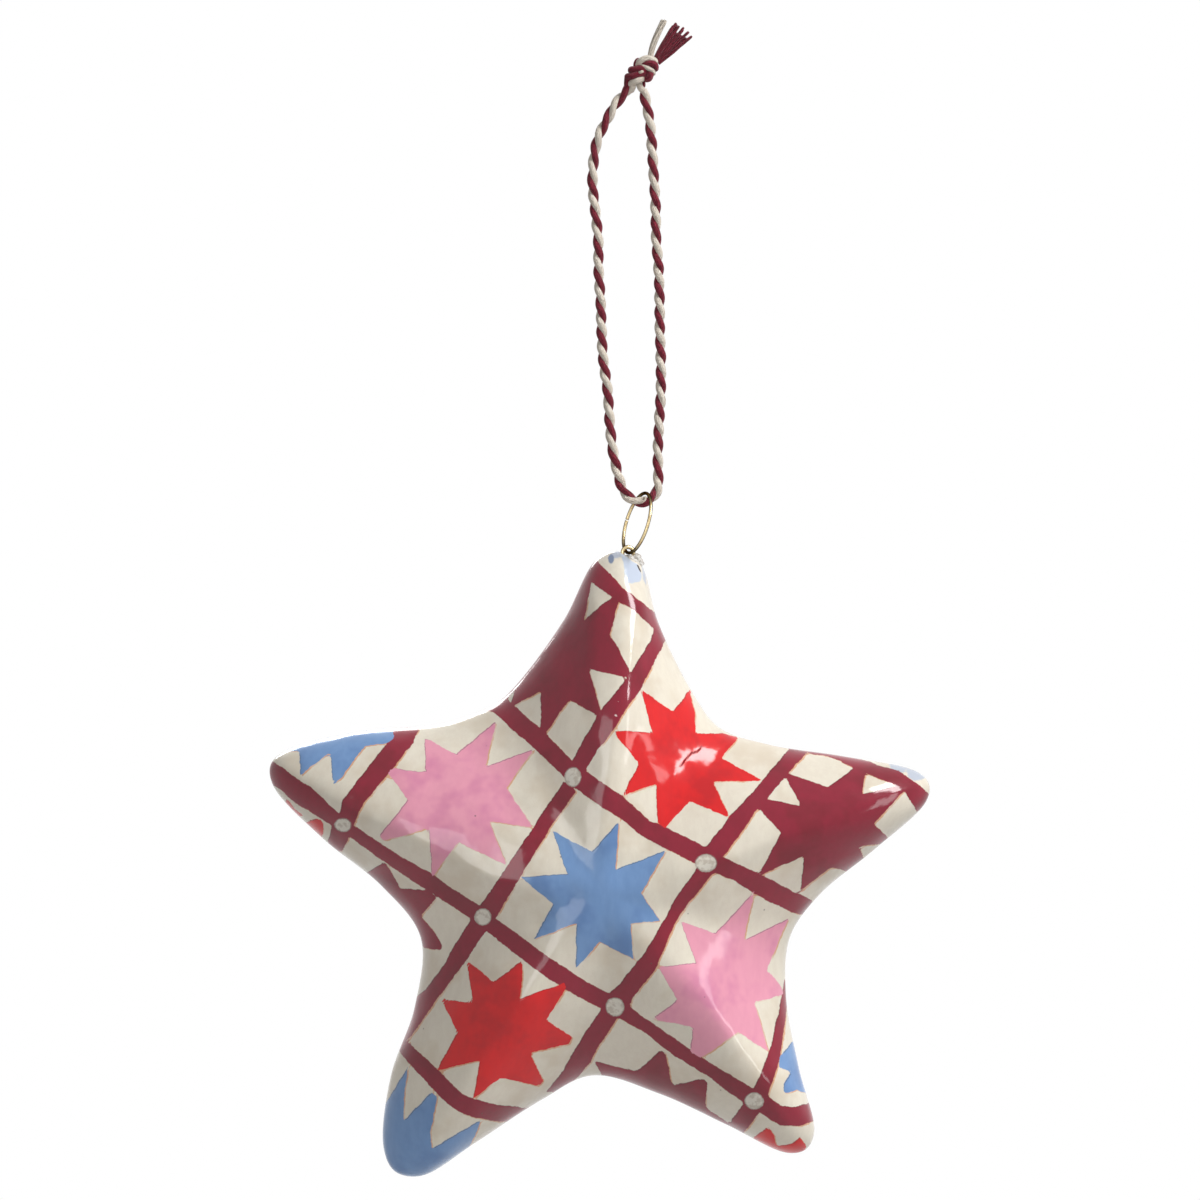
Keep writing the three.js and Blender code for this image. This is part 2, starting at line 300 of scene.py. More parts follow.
# Turns of the two plies round each other, counted from the knot: millimetres of twine, and turns.
TWIST = [(0, 0.45), (20, 3.86), (40, 7.58), (56, 10.83), (72, 13.71), (88, 16.61), (104, 19.74),
         (120, 22.85), (136, 25.81), (150, 28.42)]
PLY_RADIUS = 0.6
PLY_OFFSET = 0.35
PLY_WANDER = 0.05
PLY_SIDES = 14
STRAND_SIDES = 10
TWINE_STEP = 0.24
CORD_ROUTE = [
    (-1.3, -0.4, 1.4), (-2.7, -0.4, -0.4), (-4.2, -0.4, -2.1), (-5.6, -0.4, -4.7),
    (-6.9, -0.4, -7.3), (-7.6, -0.4, -9.9), (-8.1, -0.5, -15.1), (-7.6, -0.5, -20.3),
    (-7.1, -0.6, -25.5), (-7.0, -0.6, -30.7), (-6.7, -0.7, -35.9), (-6.5, -0.8, -41.1),
    (-6.2, -0.9, -46.3), (-5.5, -1.0, -51.5), (-5.1, -1.1, -56.7), (-4.6, -1.2, -61.9),
    (-4.0, -1.2, -64.8), (-3.4, -1.2, -67.1), (-2.8, -1.1, -68.8), (-1.8, -0.9, -70.1),
    (-0.6, -0.5, -70.8), (0.7, -0.05, -71.0), (1.9, 0.4, -70.5), (2.8, 0.75, -69.6),
    (3.3, 1.0, -68.3), (3.3, 1.2, -65.8), (3.3, 1.2, -61.9), (3.5, 1.2, -56.7),
    (3.8, 1.1, -51.5), (3.8, 1.0, -46.3), (3.6, 0.9, -41.1), (3.6, 0.8, -35.9),
    (3.4, 0.7, -30.7), (3.0, 0.6, -25.5), (2.9, 0.5, -20.3), (2.6, 0.5, -15.1),
    (2.3, 0.4, -9.9), (1.8, 0.4, -4.7), (1.3, 0.4, -2.1), (0.8, 0.4, 0.7),
]
KNOT_CENTRE = (0.5, 0.0, 3.8)


def yarn_material(name, light, dark, tint):
    """Spun cotton: fine fibres along the ply, a little fluff and a soft sheen."""
    material, tree, shader = new_material(name)
    strand = field(tree, 'strand', 'Vector')
    fibres = noise(tree, strand, 1.0, 3.0, 0.6, stretch=(1.1, 5.5, 5.5))
    fine = noise(tree, strand, 1.0, 2.0, 0.6, stretch=(2.6, 17.0, 17.0))
    patches = noise(tree, millimetres(tree), 0.5, 2.0)
    colour = blend(tree, step(tree, fibres, 0.34, 0.66), dark, light)
    colour = blend(tree, step(tree, patches, 0.45, 0.75), colour, tint)
    colour = blend(tree, step(tree, fine, 0.62, 0.8), colour, light)
    feed(tree, shader, {
        'Base Color': colour,
        'Normal': bump(tree, maths(tree, 'MULTIPLY_ADD', fine, 0.5, fibres), 0.22),
        'Roughness': maths(tree, 'MULTIPLY_ADD', fine, 0.25, 0.68),
        'Specular IOR Level': 0.2,
        'Sheen Weight': 0.15,
        'Sheen Roughness': 0.5,
    })
    return material


BURGUNDY_YARN = yarn_material('yarn_burgundy', srgb(152, 44, 64), srgb(88, 24, 36), srgb(128, 36, 52))
CREAM_YARN = yarn_material('yarn_cream', srgb(252, 244, 231), srgb(230, 215, 196), srgb(243, 231, 214))
TWINE_YARNS = [BURGUNDY_YARN, CREAM_YARN]


def make_cord():
    """Two plies, burgundy and cream, laid round the route in an S twist."""
    shape = Shape()
    path = catmull(CORD_ROUTE, False, 12)
    length = distances_along(path)[-1]
    path = resample(path, int(length / TWINE_STEP))
    along = np.linspace(0, length, len(path))
    turns = TWIST_PHASE - 2 * math.pi * np.interp(along, *zip(*TWIST))
    for slot in (0, 1):
        ply = beside(path, turns + math.pi * slot, PLY_OFFSET)
        radii = PLY_RADIUS * (1 + PLY_WANDER * np.sin(along * 1.7 + 2.1 * slot))
        shape.add_tube(ply, radii, PLY_SIDES, slot, seed=7.0 * slot)
    return shape.piece('twine_loop', TWINE_YARNS, 'cord', ['hanging_cord'])


# Plies that cross the knot's front: the yarn, its radius, how far it stands out, and its way in pixels.
KNOT_PLIES = [
    ('cream', 0.58, 1.5, [(637.2, 65.0), (640.2, 61.8), (645.4, 59.2), (650.4, 59.2), (654.8, 61.6)]),
    ('burgundy', 0.55, 1.75, [(642.6, 65.6), (646.8, 64.0), (651.6, 64.0), (655.0, 65.6), (655.6, 68.2)]),
    ('cream', 0.4, 1.85, [(640.4, 65.6), (644.4, 67.2), (648.6, 69.2), (652.4, 71.4), (653.4, 73.4)]),
    ('burgundy', 0.42, 1.1, [(637.8, 60.4), (636.0, 63.2), (635.6, 66.4)]),
    ('burgundy', 0.62, 1.6, [(631.4, 70.2), (635.2, 70.0), (640.2, 69.0), (645.0, 71.0), (649.4, 73.4)]),
    ('burgundy', 0.6, 1.7, [(648.4, 72.0), (650.2, 75.0), (649.0, 77.8), (645.4, 78.6)]),
    ('cream', 0.24, 2.25, [(637.6, 73.9), (640.8, 72.8), (643.8, 71.5)]),
    ('burgundy', 0.6, 1.7, [(627.8, 77.0), (631.6, 76.8), (637.0, 75.2), (642.2, 74.2), (646.6, 76.2)]),
    ('cream', 0.58, 1.6, [(630.8, 84.0), (635.2, 82.0), (639.6, 80.2), (643.6, 77.8)]),
    ('burgundy', 0.6, 0.7, [(628.0, 77.6), (627.4, 81.8), (627.6, 86.4)]),
    ('cream', 0.52, 0.6, [(633.6, 82.4), (632.6, 86.6), (631.4, 90.0)]),
    ('cream', 0.55, 0.5, [(639.2, 81.6), (639.4, 85.4), (641.6, 89.4)]),
    ('burgundy', 0.34, 0.2, [(642.6, 80.6), (643.6, 83.6), (643.4, 86.2)]),
]
KNOT_LONG_WAY = (0.75, 0.0, 0.66)
KNOT_CORE_RADIUS = 1.15
KNOT_CORE_STRETCH = 0.75
# How far a ply's ends are tucked in: a share of the way to the knot's middle, and how far back.
KNOT_TUCK = 0.15
KNOT_TUCK_BACK = 0.1


def knot_arc(pixels, stand):
    """A ply's way over the front of the knot, its two ends tucked in to the middle."""
    points = np.array([upright(pixel) for pixel in pixels])
    points[:, 1] = -stand * np.sin(np.linspace(0.2, 0.8, len(points)) * math.pi)
    ends = points[[0, -1]] * (1 - KNOT_TUCK) + np.array(KNOT_CENTRE) * KNOT_TUCK
    ends[:, 1] = KNOT_TUCK_BACK
    return catmull(np.vstack([ends[0], points, ends[1]]), False, 6)


def knot_core(shape):
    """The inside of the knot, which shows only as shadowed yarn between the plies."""
    away, faces = unit_ball(14, 20)
    bulge = 1 + 0.08 * np.sin(3 * np.arctan2(away[:, 1], away[:, 0]) + 4 * away[:, 2])
    stretch = KNOT_CORE_STRETCH * (away @ np.array(KNOT_LONG_WAY)) ** 2
    points = KNOT_CENTRE + away * ((KNOT_CORE_RADIUS + stretch) * bulge)[:, None]
    shape.add(points, faces, 0, points)


def make_knot():
    shape = Shape()
    knot_core(shape)
    yarns = {'burgundy': 0, 'cream': 1}
    for index, (yarn, radius, stand, pixels) in enumerate(KNOT_PLIES):
        arc = knot_arc(pixels, stand)
        shape.add_tube(arc, radius, PLY_SIDES, yarns[yarn], seed=3.0 + index)
        shape.add_tube(arc * (1, -1, 1), radius, PLY_SIDES, yarns[yarn], seed=23.0 + index)
    return shape.piece('knot', TWINE_YARNS, 'cord', ['cord_knot'])


CREAM_TAIL = [(650.3, 60.5), (650.8, 54.5), (652.8, 46.0), (655.8, 38.0), (660.0, 28.6), (665.0, 18.9)]
CREAM_STRANDS = 6
# In millimetres: half the thickness of the cream strands and of the one in their middle, and how far
# they stand from it at the knot and at the cut.
CREAM_RADIUS = 0.22
CREAM_CORE_RADIUS = 0.24
CREAM_SPREAD = (0.29, 0.42)
# The burgundy fan, in pixels: its base, its way across, half its width and its first and last tip. Then,
# in millimetres, half the thickness of its strands and of the longer ones, and its depth.
BURGUNDY_BASE = np.array((656.4, 61.6))
FAN_ACROSS = np.array((0.72, 0.69))
FAN_HALF_WIDTH = 3.0
FAN_FROM = (671.6, 29.6)
FAN_TO = (688.2, 38.8)
FAN_STRANDS = 11
FAN_RADIUS = 0.31
LONG_RADIUS = 0.28
FAN_DEPTH = 0.28
# Strands that reach past the fan: place across it from -1 to 1, and the tip in pixels.
LONG_STRANDS = [
    (-1.05, 671.6, 27.8), (-1.0, 673.4, 25.6), (-0.85, 676.2, 22.9), (-0.8, 677.2, 24.4), (-0.7, 679.2, 26.0),
    (0.0, 683.9, 27.3), (0.05, 683.2, 29.4), (0.45, 688.8, 31.8), (0.85, 692.0, 36.0), (0.9, 690.2, 37.4),
]


def make_cream_tail():
    """One ply cut off bluntly: strands of fibre side by side with a slight twist."""
    shape = Shape()
    path = resample(catmull([upright(pixel) for pixel in CREAM_TAIL], False, 8), 48)
    along = np.linspace(0, 1, len(path))
    taper = CREAM_RADIUS - 0.05 * np.clip((along - 0.93) / 0.07, 0, 1)
    for strand in range(CREAM_STRANDS):
        turns = 2 * math.pi * strand / CREAM_STRANDS + 1.1 * along
        reach = int(len(path) * (0.965 + 0.035 * math.sin(strand * 2.4)))
        way = beside(path, turns, np.linspace(*CREAM_SPREAD, len(path)))
        shape.add_tube(way[:reach], taper[:reach], STRAND_SIDES, seed=40.0 + strand)
    shape.add_tube(path[:-2], CREAM_CORE_RADIUS, STRAND_SIDES, seed=47.0)
    return shape.piece('tail_cream', [CREAM_YARN], 'cord', ['cord_end_cream'])


def make_burgundy_tail():
    """The other ply, come apart into a flat fan of strands with a ragged edge."""
    shape = Shape()
    tips = zip(np.linspace(-1, 1, FAN_STRANDS), np.linspace(FAN_FROM, FAN_TO, FAN_STRANDS))
    strands = [(place, *tip, FAN_RADIUS) for place, tip in tips]
    strands += [(*strand, LONG_RADIUS) for strand in LONG_STRANDS]
    for index, (place, px, py, radius) in enumerate(strands):
        y = FAN_DEPTH * math.sin(2.4 * index)
        start = BURGUNDY_BASE + FAN_HALF_WIDTH * place * FAN_ACROSS
        middle = (start + (px, py)) / 2 + 0.5 * math.sin(2.7 * index) * FAN_ACROSS
        ends = [upright(start, 0.4 * y), upright(middle, 1.2 * y), upright((px, py), y)]
        path = resample(catmull(ends, False, 12), 26)
        along = np.linspace(0, 1, len(path))
        radii = radius - 0.04 * along + 0.02 * np.sin(9 * along + index)
        radii[-1] *= 0.7
        shape.add_tube(path, radii, STRAND_SIDES, seed=60.0 + index)
    return shape.piece('tail_burgundy', [BURGUNDY_YARN], 'cord', ['cord_end_burgundy'])


cord = make_cord()
knot = make_knot()
tails = [make_cream_tail(), make_burgundy_tail()]


# Star

ARMS = [  # bearing, reach, tip radius, clockwise near and far, counter near and far, crotch bearing and reach
    (18.3, 59.2, 3.4, 12.4, 7.8, 15.2, 9.1, 55, 34.6),
    (87.8, 59.2, 4.7, 13.9, 7.5, 16.9, 8.9, 120.5, 37.6),
    (159.3, 62, 4, 17.2, 11.1, 12.9, 8.8, 194, 33),
    (233.2, 60.8, 5, 14.4, 10.5, 12.8, 8.3, 266, 32.1),
    (307.9, 56.8, 3.7, 14.2, 8.3, 13.7, 7.7, 346, 33.1),
]
STAR_MIDDLE = (-5.903, 0.0, -138.429)
NEAR_STATION, FAR_STATION = 0.59, 0.79
TIP_TURNS = (-55, 0, 55)
HALF_DEPTH = 18.0
BULGE = 2.6
TAPER = 0.4
CROWN_RADIUS = 8.0
OUTLINE_PER_SPAN = 15
RINGS = 92
# How far the face lies under the solid's, and the power that lets this and the dents fade at the rim.
FACE_SINK = 0.12
DENT_FADE = 6
# The dents' waves: how long they are and how high from trough to crest, and how many there are of each.
DENT_WAVES = ((26, 0.16), (17, 0.1), (11, 0.06), (7, 0.03))
DENTS_EACH = 4
DENT_SEED = 5


def direction(degrees):
    return np.array((math.cos(math.radians(degrees)), math.sin(math.radians(degrees))))


def star_outline():
    """The star's rim, as points (x, z) round its middle."""
    knots = []
    for bearing, reach, tip, cw_near, cw_far, ccw_near, ccw_far, crotch_bearing, crotch in ARMS:
        along = direction(bearing)
        across = np.array((-along[1], along[0]))
        near, far = NEAR_STATION * reach * along, FAR_STATION * reach * along
        knots += [near - cw_near * across, far - cw_far * across]
        for x, z in (direction(turn) for turn in TIP_TURNS):
            knots.append((reach - tip + tip * x) * along + tip * z * across)
        knots += [far + ccw_far * across, near + ccw_near * across, crotch * direction(crotch_bearing)]
    return catmull(knots, True, OUTLINE_PER_SPAN)


def relief_height(x, z, share):
    """How far the star's face stands out; share is 0 in the middle and 1 on the rim."""
    arms = np.array(ARMS)
    ridges, valleys = arms[:, 1].mean(), arms[:, 8].mean()
    first = math.radians(np.mean(arms[:, 0] - 360 / len(arms) * np.arange(len(arms))))
    wave = np.cos(len(arms) * (np.arctan2(z, x) - first))
    reach = (ridges + valleys + (ridges - valleys) * wave) / 2
    distance = np.sqrt(x * x + z * z + CROWN_RADIUS ** 2) - CROWN_RADIUS
    return HALF_DEPTH * np.sqrt(np.clip(1 - share ** BULGE, 0, 1)) * (1 - TAPER * distance / reach)


def dents(x, z, side):
    """Small hollows and swellings left by the hand that laid the paper, in millimetres."""
    draw = np.random.RandomState(DENT_SEED + side)
    total = np.zeros_like(x)
    for length, size in DENT_WAVES:
        for _ in range(DENTS_EACH):
            turn, start = draw.uniform(0, 2 * math.pi, 2)
            along = x * math.cos(turn) + z * math.sin(turn)
            total += size / 2 * np.sin(2 * math.pi * along / length + start)
    return total


# Soft folds along the arms, in pixels, from the tips to the middle.
RIDGES = [
    [(625, 562), (625, 600), (622, 690), (607, 790), (600, 840)],
    [(285, 772), (360, 814), (440, 853), (500, 880), (560, 895)],
    [(915, 783), (885, 793), (838, 816), (760, 842), (680, 870)],
    [(420, 1150), (455, 1100), (485, 1051), (512, 1013), (560, 940)],
    [(785, 1120), (765, 1080), (728, 1030), (700, 985), (650, 930)],
]
RIDGE_LIFT = 1.2
RIDGE_WIDTH = 4.6
RIDGE_ROUND = 0.9
# How far from the middle the folds start, how much further out they are full, and the power that
# lets them fade at the rim.
FOLD_START = 6.0
FOLD_GROWTH = 16.0
FOLD_FADE = 8
# A shallow hollow from the upper right crotch to the middle, in pixels.
VALLEY = [(735, 712), (719, 728), (690, 758), (660, 792), (632, 835)]
VALLEY_DEPTH = 0.34
VALLEY_WIDTH = 5.5
# The small hollow in the top tip round the wire eye, which leaves room for the jump ring.
EYE_PLACE = np.array((-1.9, 0.0, -79.8))
EYE_HOLLOW_DEPTH = 0.65
EYE_HOLLOW_WIDTH = 1.9


def gap_to_edge(spots, start, edge):
    """Distance from each spot to a straight edge."""
    along = np.clip((spots - start) @ edge / (edge @ edge), 0, 1)
    return np.linalg.norm(spots - start - along[:, None] * edge, axis=1)


def gap_to_line(spots, pixels):
    """Distance, in millimetres, from each spot to a line through pixels of the photograph."""
    line = (np.array([upright(pixel) for pixel in pixels]) - STAR_MIDDLE)[:, [0, 2]]
    return np.min([gap_to_edge(spots, *pair) for pair in zip(line, np.diff(line, axis=0))], axis=0)


def ridge_folds(x, z, share):
    """Extra height along the folds, in millimetres, which dies away in the middle and at the rim."""
    spots = np.stack([x, z], axis=1)
    total = np.zeros(len(spots))
    for ridge in RIDGES:
        tent = np.exp((RIDGE_ROUND - np.hypot(gap_to_line(spots, ridge), RIDGE_ROUND)) / RIDGE_WIDTH)
        total = np.maximum(total, RIDGE_LIFT * tent)
    total -= VALLEY_DEPTH * np.exp(-(gap_to_line(spots, VALLEY) / VALLEY_WIDTH) ** 2)
    middle = np.clip((np.hypot(x, z) - FOLD_START) / FOLD_GROWTH, 0, 1)
    return total * middle * (1 - share ** FOLD_FADE)


def star_surface(side):
    """Points (x, y, z) round the star's middle and faces of one half; side is -1 in front."""
    outline = star_outline()
    count = len(outline)
    shares = np.sin(np.linspace(0, math.pi / 2, RINGS + 1))[1:]
    x, z = (shares[:, None, None] * outline).reshape(-1, 2).T
    share = np.repeat(shares, count)
    height = relief_height(x, z, share) + ridge_folds(x, z, share)
    height += (dents(x, z, side) - FACE_SINK) * (1 - share ** DENT_FADE)
    middle = (0, side * height[:count].mean(), 0)
    points = np.vstack([middle, np.stack([x, side * height, z], axis=1)])
    to_eye = np.linalg.norm(points + STAR_MIDDLE - EYE_PLACE, axis=1)
    points[:, 2] -= EYE_HOLLOW_DEPTH * np.exp(-(to_eye / EYE_HOLLOW_WIDTH) ** 2)
    faces = [(0, 1 + i, 1 + (i + 1) % count) for i in range(count)]
    faces += belts(1, len(points) - count, count)
    return points, [face[::-side] for face in faces]


# Sashing bands, in pixels: burgundy strips that cross the whole star.
BANDS = [
    [(596, 560), (612.7, 576.5), (622.6, 587.3), (630, 593), (654, 612), (668, 626), (655, 630),
     (645.8, 621.3), (630.9, 608), (622.6, 603.8), (616, 599.7), (602.7, 590.6), (590.3, 581.5), (582, 574)],
    [(668, 626), (666, 640), (654, 662.7), (641.7, 687.6), (627.6, 707.5), (614.3, 729), (596, 752.3),
     (586, 770.5), (574, 777), (572.9, 759.7), (584.5, 737.3), (596, 719), (602.7, 707.5), (625.9, 679.3),
     (630, 672.7), (649.2, 642.8), (655, 628)],
    [(486, 702), (506.5, 698), (514, 705.8), (539, 727.4), (545.5, 733.2), (571.2, 759.7), (585.3, 770.2),
     (596, 778.8), (622, 795.5), (649.3, 820.5), (667.5, 828), (705.6, 847), (722.5, 856.8), (740.4, 864.8),
     (756.4, 872), (793.9, 891.6), (812, 900), (812, 916), (795.7, 913.9), (776, 905), (752.9, 892.5),
     (733.2, 880), (713.6, 872), (695.7, 863.6), (665.8, 848.7), (642.6, 836.3), (619.4, 818), (602.8, 808),
     (577.9, 789.9), (564.6, 777), (533, 747.3), (513.2, 730.7), (493.3, 711.6), (480, 709)],
    [(262, 752), (272.4, 761.2), (288.7, 771.7), (301, 781.3), (310.7, 787), (336.5, 811), (353.7, 825.3),
     (393.9, 852), (430.3, 873), (453.2, 889.4), (480, 905.7), (496, 918.5), (533.6, 945.9), (546, 955.5),
     (565, 967.9), (586.2, 981.3), (609, 993.7), (628.9, 1005.3), (640.4, 1014.9), (692, 1050.3),
     (718.8, 1068.4), (753.2, 1088.5), (768.5, 1097), (781.9, 1105.8), (795.3, 1106.7), (805.8, 1104),
     (818, 1098), (820, 1118), (799, 1126.8), (780, 1124.9), (759, 1112.4), (743.7, 1101.9), (722.6, 1088.5),
     (709.2, 1077), (674.8, 1056), (642.3, 1031), (618.4, 1017.7), (600.5, 1008.6), (564.2, 989),
     (532.6, 967.9), (521, 958.4), (485.7, 930.6), (470.4, 918), (436, 896), (392, 867.4), (348, 835.8),
     (330.8, 824.4), (311.7, 812.9), (294.4, 802.4), (283, 791.8), (276.3, 787), (262, 780)],
    [(398, 1033), (406.3, 1040.6), (436, 1067.4), (461.8, 1094.2), (474.3, 1099), (496.3, 1104.7),
     (522, 1107.6), (540, 1106), (520, 1126), (503.9, 1121.5), (497.2, 1121.9), (481, 1119), (463.7, 1114.3),
     (446.5, 1103.8), (435, 1091.3), (408.3, 1062.6), (396, 1048)],
    [(563.8, 781.6), (541.5, 814.7), (521.6, 844.6), (506.8, 866.4), (499, 877.9), (480, 905.7),
     (471, 919), (452.3, 948.8), (446.5, 961.2), (425.5, 989.9), (412, 999), (398, 1040), (408.3, 1040),
     (436, 1001.4), (448.4, 984.2), (465.7, 961.2), (485.7, 931.6), (496.3, 917), (521.3, 875.4),
     (553, 823.8), (577, 790.7)],
    [(786, 735), (789.5, 747.9), (763.6, 779), (749.3, 796), (729.6, 815.7), (727, 821), (704.6, 847.9),
     (695.7, 869.5), (675.8, 897.6), (657.5, 930.8), (645.9, 950.7), (622.7, 980.6), (609.5, 993),
     (600.5, 1010), (584.3, 1033.9), (572.8, 1053), (563.2, 1070.3), (546, 1092), (565, 1092),
     (590, 1062.6), (599.6, 1045.4), (617.8, 1017.7), (629.4, 1004.6), (632.7, 998.8), (654.2, 970.6),
     (659.2, 960.7), (674, 925.8), (682.4, 910.9), (699, 891), (713, 872.8), (722.5, 856.8), (738.6, 837),
     (758.2, 807.7), (765.4, 800.5), (788.6, 772.9), (808.2, 751.4), (822, 738)],
    [(398, 722), (393.9, 730.6), (387.2, 743), (365.2, 770.8), (342.3, 800.4), (340.4, 810), (331.7, 824.4),
     (328.9, 838.7), (326, 850), (342, 852), (349, 836.8), (353.7, 825.3), (359.5, 811), (367, 799.5),
     (393.9, 767), (413, 743), (418.8, 729.7), (420, 720)],
    [(784.5, 979), (778, 1013.9), (770.4, 1046.4), (762.8, 1069.4), (753.2, 1088.5), (743.7, 1102.9),
     (730.3, 1122), (728, 1130), (742, 1138), (744.6, 1131.6), (759, 1113.4), (767.6, 1097), (780, 1057.9),
     (786, 1017.8), (787.5, 987)],
    [(786, 742), (811.8, 745), (831.4, 750.5), (867, 761.3), (899.3, 771), (917, 783.6), (936, 800),
     (917, 812), (904.6, 790.7), (899.3, 787), (865.4, 772.9), (852.9, 767.5), (829.6, 756.8), (811.8, 754)],
]
# Blocks of the top and right arms, burgundy but for the pale gaps between the star's points.
BLOCKS = [
    [(590, 576), (622, 600), (655, 628), (630, 674), (602, 709), (584, 738), (572, 762), (545, 734),
     (506, 702), (490, 694), (530, 630), (575, 568)],
    [(790, 750), (812, 752), (867, 763), (899, 775), (930, 796), (935, 830), (880, 875), (815, 915),
     (797, 893), (757, 872), (722.5, 857), (765, 800)],
]
BLOCK_GAPS = [
    [(593, 576), (620, 594), (601, 604.5), (584, 621)],
    [(619, 599), (650, 615), (664, 632), (636, 680), (610, 634.5)],
    [(588.6, 668.5), (632, 679), (603, 718)],
    [(509, 708), (540.5, 692), (541, 734)],
    [(569.6, 699.5), (603, 719), (577, 768), (543, 737)],
    [(514.5, 690.5), (511, 703), (504, 704)],
    [(800, 748), (829, 750), (859, 764), (828, 787), (781, 771)],
    [(866, 767), (904, 784), (862, 794)],
    [(783, 771), (801, 806), (760, 798)],
    [(754, 803), (781, 833), (757, 878), (717, 861)],
    [(804, 856), (799, 900), (755, 878)],
    [(831, 867), (846, 871), (852, 880), (812, 910), (798, 893)],
    [(858, 846), (884, 844), (866, 862)],
    [(905.5, 789), (923, 811), (905, 840), (888, 838), (874, 824)],
]
PARTIAL_BURGUNDY = [
    [(371, 870.3), (382.4, 862.6), (386, 862.5), (400.6, 888.4), (428.4, 890.4), (437, 897), (420.7, 916.2),
     (432.2, 929.6), (443.5, 946.8), (440.8, 950.5), (424.5, 947.8), (408, 930), (388, 900), (360, 876)],
    [(594.4, 1060.8), (604, 1063.7), (635.6, 1071.3), (640.4, 1068.4), (659.5, 1051.2), (664.3, 1051.2),
     (667, 1057.9), (671.9, 1085.7), (701.6, 1079), (707.3, 1080.9), (705.4, 1107.7), (730, 1124),
     (700, 1130), (640, 1100), (604, 1080)],
]
STARS = {
    'middle': [(553, 831), (592, 852), (619, 821), (615.6, 869.5), (666, 850), (641, 893), (660, 921),
               (630, 923), (633.5, 959), (599.5, 942), (575.5, 969), (576.6, 923), (533, 940), (553, 904),
               (521, 877), (567, 874)],
    'upper_right': [(640.6, 689), (672.5, 711), (690, 690), (694.8, 712), (695.7, 733.6), (723.4, 733.6),
                    (738.6, 737), (721.6, 758), (762, 780.5), (713, 782), (730, 818), (690, 801),
                    (665, 828), (657.5, 822), (656, 784), (622, 796), (639, 763), (611.6, 731), (652, 732)],
    'left': [(424.5, 737), (455.5, 754.5), (497, 720), (485, 767), (534.5, 749), (506, 788), (533.6, 828),
             (488.6, 821), (507, 865.5), (458, 842), (432, 877), (429, 828), (384, 841), (378.6, 836),
             (408, 800), (388, 773), (392, 768), (425.5, 772)],
    'lower_right': [(754, 891.5), (744, 940), (788, 919), (766.6, 970), (782, 987), (784, 995), (754, 1002),
                    (769.5, 1053), (738, 1032), (701.6, 1058), (690, 1052), (693, 1027), (652, 1019),
                    (678, 1000), (658.5, 967), (696, 963), (680.5, 921), (714.6, 933.6)],
    'lower_left': [(466, 960), (494, 982), (521, 961), (523, 964), (520, 998.5), (564, 983), (566, 988),
                   (547, 1020), (572, 1037), (569, 1044), (530, 1053), (543, 1081), (538, 1086),
                   (500, 1078), (473, 1099), (480, 1060), (436, 1071), (458, 1032), (440, 998.5),
                   (473, 1003)],
    'left_tip': [(279, 751.7), (299.2, 750.7), (300.2, 775.6), (330.8, 750.7), (331.8, 776.5), (333.7, 785),
                 (342.3, 776.5), (349, 767), (358.5, 753.6), (365.2, 745.9), (387.2, 743), (393.9, 738.3),
                 (392, 726), (330, 720), (272, 738)],
    'lower_left_tip': [(408.3, 1065.5), (404.4, 1091.3), (403.5, 1121), (431.2, 1092.3), (437, 1097),
                       (434, 1114.3), (430.3, 1133.4), (432.2, 1148.3), (481, 1120), (475.2, 1134.4),
                       (468, 1150), (430, 1200), (385, 1190), (370, 1120), (384, 1106)],
    'lower_right_edge': [(791.5, 1042.6), (780, 1056), (779, 1067.5), (791.5, 1071.3), (782.9, 1084.7),
                         (783.8, 1093.3), (797.2, 1090.4), (806, 1093), (822, 1090), (810, 1030)],
    'lower_right_tip': [(753, 1138), (767.6, 1126.8), (773.3, 1133.5), (777, 1147), (770, 1160), (745, 1150)],
    'lower_right_end': [(778, 1145.9), (792.4, 1143), (800, 1136.4), (806.5, 1147), (800, 1165), (775, 1160)],
    'left_edge': [(307.8, 821.5), (315.5, 818.6), (320.3, 818.8), (323.5, 824.4), (322.8, 834.9), (318, 850),
                  (300, 830)],
    'left_hair': [(286.8, 799), (293, 807), (303, 815.5), (296, 818), (284, 806)],
}
# Parts at the arms' ends, which have the same colour on the front and the back.
RED_ENDS = ('lower_right_tip', 'lower_right_end', 'left_edge', 'left_hair')
BLUE_ENDS = ('left_tip', 'lower_left_tip', 'lower_right_edge')
FRONT_COLOURS = {
    'red': ('upper_right', 'lower_left', *RED_ENDS),
    'pink': ('left', 'lower_right'),
    'blue': ('middle', *BLUE_ENDS),
}
# The back carries the same patchwork, which meets the front's at the rim, in other colours.
BACK_COLOURS = {
    'red': ('upper_right', 'middle', *RED_ENDS),
    'pink': ('lower_left', 'lower_right'),
    'blue': ('left', *BLUE_ENDS),
}
CORNER_DOTS = [(573, 777, 8.0, 9.6), (706, 863, 10.6, 8.8), (483, 917, 8.0, 8.2), (615, 1007, 9.2, 9.2),
               (343, 825, 8.2, 6.8), (754, 1101, 9.2, 8.2)]
TIP_BLUE = [(611.1, 558.9, 3.0, 5.2)]
TIP_SMEAR = [[(609, 556), (613, 552), (620, 549), (626, 553), (622, 557), (613, 559)],
             [(641.5, 563), (646, 565), (646, 586), (643, 578)],
             [(888, 762), (908, 768), (903, 772.5), (897, 774), (892, 771)],
             [(907, 768), (918, 770), (926, 777), (921, 780), (914, 781), (908, 777)]]
TIP_PALE = [[(620, 553), (627, 556), (633, 562), (637, 564), (641, 571), (641.5, 578), (639.5, 582),
             (632, 583.5), (627, 582.5), (624.6, 578), (624, 566)]]
CRACK = [(636.6, 564.6), (638.4, 565.4), (641.6, 573), (640, 571.6)]
